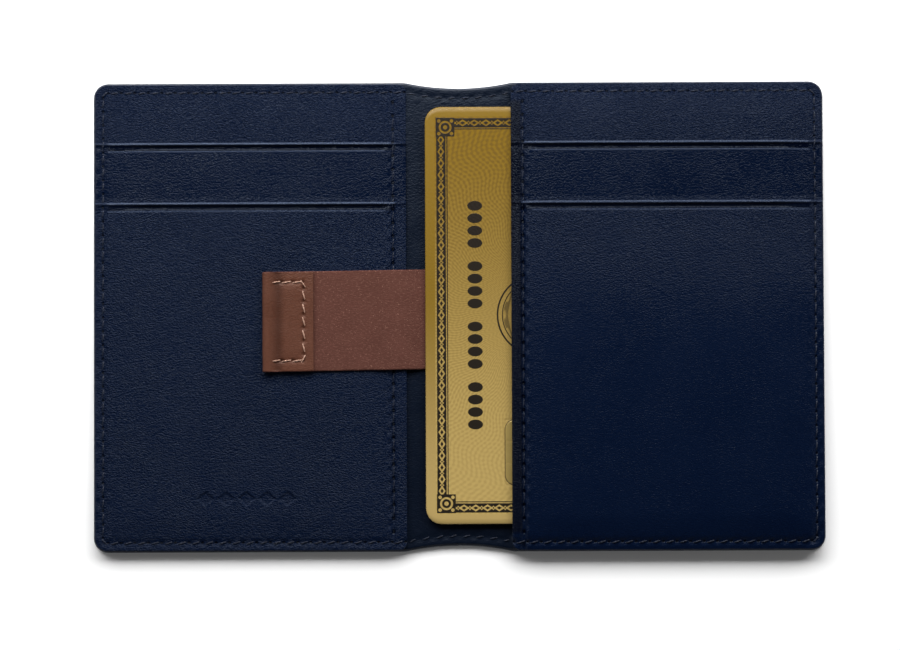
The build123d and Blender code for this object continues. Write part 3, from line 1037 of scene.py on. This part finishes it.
def fleece(name, dark, light):
    s = Surface(name, Specular_IOR_Level=0.1)
    fibres = s.noise(0.5, 5, (0.4, 1.5), 0.7, 1.5)
    tufts = s.noise(3, 3)
    return s.finish(s.mix(fibres * 0.6 + tufts * 0.4, dark, light), fibres * 0.1 + 0.85, fibres + tufts, 0.15)


def thread(name, dark, light, specular):
    """Waxed polyester thread, with the fine filaments of each ply."""
    s = Surface(name, Specular_IOR_Level=specular)
    filaments = s.noise(0.09, 2, (0.5, 2.2), 0.6)
    wear = s.noise(2.2, 1)
    return s.finish(s.mix(filaments * 0.6 + wear * 0.4, dark, light), filaments * 0.2 + 0.36, filaments, 0.03)


def edge_paint(name, dark, light):
    """Burnished paint on the cut edge of the shell."""
    s = Surface(name, Specular_IOR_Level=0.3)
    brushed = s.noise(0.5, 3, (0.3, 1.5))
    build_up = s.noise(3, 2)
    colour = s.mix(brushed * 0.5 + build_up * 0.5, dark, light)
    return s.finish(colour, brushed * 0.12 + 0.3, brushed + build_up, 0.03)


def card_face(name):
    """A plain gold bank card: engine-turned lines, a border of lozenges with a rosette in each corner,
    a double ring and groups of dots."""
    s = Surface(name, Specular_IOR_Level=0.2)
    middle = (CARD_LOW + CARD_HIGH) / 2
    half = (CARD_HIGH - CARD_LOW) / 2
    from_side = (s.x - middle[0]).size().math("MULTIPLY_ADD", -1.0, half[0])
    from_end = (s.y - middle[1]).size().math("MULTIPLY_ADD", -1.0, half[1])
    from_edge = from_side.least(from_end)

    ring_x = 23
    swirl = distance(s.x - CARD_LOW[0] - ring_x, s.y - middle[1])
    bearing = (s.y - middle[1]).math("ARCTAN2", s.x - CARD_LOW[0] - ring_x)
    rays = (bearing + swirl.sine(9.5) * 0.03).sine(2 * math.pi / 210)
    counter_rays = (bearing - swirl.sine(7.2) * 0.035).sine(2 * math.pi / 170)
    waves = (swirl + bearing.sine(2 * math.pi / 36) * 0.35).sine(0.9)
    lines = (rays * 0.5 + counter_rays * 0.25 + waves * 0.3).ramp(-0.8, 0.8)

    # The gold grows lighter towards the bottom of the card, and so does its margin: a painted reflection.
    up = s.y.ramp(middle[1] - half[1], middle[1] + half[1])
    gold = s.mix(up, GOLD_LOW_PAINTED_REFLECTION, GOLD_TOP)
    gold = s.mix(lines * (up * 0.35 + 0.2), gold, GOLD_LINE)
    plain = from_edge.ramp(2.1, 1.95)
    gold = s.mix(plain, gold, s.mix(s.y.ramp(CARD_LOW[1], 8), MARGIN_LOW_PAINTED_REFLECTION, MARGIN_TOP))

    across = from_edge - 3.3
    beside = (from_side - from_end).ramp(0.01, -0.01)
    lengthwise = (s.x - middle[0]) + (s.y - s.x - (middle[1] - middle[0])) * beside
    links = lengthwise.from_nearest(2.4).size() * 0.62 + across.size()
    loops = (lengthwise - 1.2).from_nearest(2.4).size() + across.size() * 0.8
    chain = ((links - 0.52).size().ramp(0.26, 0.12)).most((loops - 0.3).size().ramp(0.14, 0.05))
    band = across.size().ramp(1.0, 0.9)
    edge_line = (from_edge - 4.55).size().ramp(0.14, 0.06)
    tile = from_side.most(from_end).ramp(6.15, 6.05) * from_edge.ramp(2.2, 2.3)
    aside, ahead = (from_side - 4.2).size(), (from_end - 4.2).size()
    ring = (distance(aside, ahead) - 1.12).size().ramp(0.26, 0.14)
    leaf = distance(aside - 1.3, ahead - 1.3).ramp(0.42, 0.3)
    centre = distance(aside, ahead).ramp(0.5, 0.38)
    rosette = ring.most(leaf).most(centre).flipped()
    border = (band * chain.flipped()).most(edge_line)
    dark = border * tile.flipped() + tile * rosette

    along = s.y - middle[1]
    group = (along + 6.2).from_nearest(12.4)
    dot = (group + 1.275).from_nearest(2.55)
    disc = distance((s.x - CARD_LOW[0] - 10.2) * 0.66, dot).ramp(1.06, 0.96)
    rows = disc * group.size().ramp(5.15, 5.05) * along.size().ramp(24.9, 24.8)
    rings = (swirl - 8.2).size().ramp(0.22, 0.12).most((swirl - 7.2).size().ramp(0.14, 0.06))
    moire = (swirl + s.x.sine(2.4) * 0.5).sine(1.6).ramp(0.2, 0.6) * swirl.ramp(7.1, 6.9)
    plate_middle = (PLATE_LOW + PLATE_HIGH) / 2
    plate_flat = (PLATE_HIGH - PLATE_LOW) / 2 - PLATE_CORNER
    over_x = ((s.x - plate_middle[0]).size() - plate_flat[0]).most(0.0)
    over_y = ((s.y - plate_middle[1]).size() - plate_flat[1]).most(0.0)
    outline = (distance(over_x, over_y) - PLATE_CORNER - 0.05).size().ramp(0.16, 0.06)
    dark = dark.most(rows).most(rings).most(moire * 0.6).most(outline * 0.75)
    raised = lines * 0.2 + dark * 0.5
    return s.finish(s.mix(dark, gold, CARD_INK), lines * 0.06 + 0.33, raised, 0.02)


def plate_metal(name):
    """Gold-plated contacts with a fine brushed finish."""
    s = Surface(name, Metallic=0.35)
    brushed = s.noise(0.12, 3, (0.25, 3))
    tarnish = s.noise(3.5, 2)
    colour = s.mix(brushed * 0.4 + tarnish * 0.6, (0.27, 0.19, 0.055), (0.42, 0.31, 0.1))
    return s.finish(colour, brushed * 0.2 + 0.28, brushed, 0.006)


def floor_material(name):
    """A matte white table."""
    s = Surface(name, Specular_IOR_Level=0.0)
    haze = s.noise(60, 2)
    return s.finish(s.mix(haze, (0.9, 0.9, 0.9), (0.92, 0.92, 0.92)), haze * 0.05 + 0.9, haze, 0.0)


# The stage: floor, light and camera


def make_floor():
    reach = 4000
    edge = [-reach, reach]
    points = [(x, y, 0.0) for x in edge for y in edge]
    floor = make_piece("floor", points, [(0, 2, 3, 1)], floor_material("white_table"))


def make_sky():
    """Even soft light from all round, weaker overhead."""
    world = bpy.data.worlds.new("studio")
    bpy.context.scene.world = world
    world.use_nodes = True
    tree = world.node_tree
    direction = tree.nodes.new("ShaderNodeTexCoord")
    parts = tree.nodes.new("ShaderNodeSeparateXYZ")
    tree.links.new(direction.outputs["Generated"], parts.inputs[0])
    height = Field(tree, parts.outputs["Z"]).ramp(0.1, 0.75)
    strength = height * (SKY_TOP - SKY_SIDE) + SKY_SIDE
    background = tree.nodes["Background"]
    background.inputs["Color"].default_value = (1.0, 1.0, 1.0, 1.0)
    tree.links.new(strength.socket, background.inputs["Strength"])


def aim(thing, target):
    """Turns a light at its place towards a point."""
    thing.rotation_euler = (Vector(target) - thing.location).to_track_quat("-Z", "Y").to_euler()


def make_softbox(name, place, target, width, depth, power, spread=180):
    """A soft lamp over the table. Places and sizes are in metres, and spread is its fan in degrees."""
    data = bpy.data.lights.new(name, "AREA")
    data.shape = "RECTANGLE"
    data.size = width
    data.size_y = depth
    data.energy = power
    data.spread = math.radians(spread)
    lamp = bpy.data.objects.new(name, data)
    bpy.context.scene.collection.objects.link(lamp)
    lamp.location = place
    aim(lamp, target)


def make_camera():
    """A long lens straight above the wallet, a touch to the south of it."""
    data = bpy.data.cameras.new("camera")
    data.lens = LENS
    data.sensor_width = SENSOR
    data.clip_start = 0.05
    camera = bpy.data.objects.new("camera", data)
    bpy.context.scene.collection.objects.link(camera)
    turn = Euler((math.radians(VIEW_TILT), 0, math.radians(VIEW_ROLL)))
    away = turn.to_matrix() @ Vector((0, 0, VIEW_WIDTH * LENS / SENSOR))
    camera.rotation_euler = turn
    camera.location = (Vector(VIEW_CENTRE) + away) * MM
    bpy.context.scene.camera = camera


# The wallet

shell_hide = leather("shell_calf", (0.0012, 0.0033, 0.0115), (0.003, 0.0066, 0.0205), 0.6, 0.09, 0.38, 0.16,
                     BLUE_GLOSS)
inner_hide = leather("inner_calf", (0.0005, 0.0026, 0.0115), (0.0016, 0.0052, 0.0188), 0.38, 0.24, 0.265,
                     0.095, BLUE_GLOSS, (10.4, 12.8, 0.25, (0.0014, 0.0019, 0.005)), slots=True)
lining_hide = leather("lining_calf", (0.0009, 0.0025, 0.0072), (0.0024, 0.0048, 0.0118), 0.5, 0.07, 0.4, 0.12,
                      BLUE_GLOSS)
lining_cloth = cloth("divider_twill", (0.008, 0.011, 0.025), (0.02, 0.027, 0.05), 0.35, 0.05, 0.5)
padding = fleece("interlining_fleece", (0.28, 0.27, 0.25), (0.42, 0.41, 0.38))
navy_yarn = thread("navy_thread", (0.002, 0.0043, 0.013), (0.0062, 0.0105, 0.025), 0.3)
tan_yarn = thread("tan_thread", (0.2, 0.1, 0.065), (0.52, 0.33, 0.25), 0.3)
strap_suede = flesh_side("strap_flesh_side", (0.052, 0.018, 0.0125), (0.088, 0.033, 0.024),
                         (0.24, 0.12, 0.088))
# The strap's band darkens the crease beside the tab's roll: painted shade.
strap_grain = leather("strap_grain_side", (0.045, 0.014, 0.0075), (0.092, 0.034, 0.02), 0.42, 0.11, 0.45, 0.2,
                      BROWN_GLOSS, (6.4, 8.1, 0.9, (0.036, 0.011, 0.006)))
painted_edge = edge_paint("painted_edge", (0.002, 0.0055, 0.016), (0.005, 0.011, 0.027))

for way in (1, -1):
    make_shell(way, shell_hide, painted_edge)
    make_interlining(way, padding)
    make_lining(way, lining_hide)
    make_slots(way, inner_hide, lining_cloth)
    make_threads(way, navy_yarn)
strap_sides = (strap_suede, strap_grain)
make_pull(strap_sides, tan_yarn)
make_turn(strap_sides)
make_sewn_end(strap_sides, tan_yarn)
make_card(card_face("gold_card"), plate_metal("card_contacts"))

make_floor()
make_sky()
make_softbox("north_softbox", (0.0, 0.46, 0.36), (0, 0, 0), 1.4, 0.32, 12.3)
make_softbox("top_accent", (-0.08, 0.28, 0.42), (-0.03, 0.12, 0.0), 0.2, 0.1, 0.09, 32)
make_camera()
bpy.context.scene.view_settings.view_transform = "Standard"
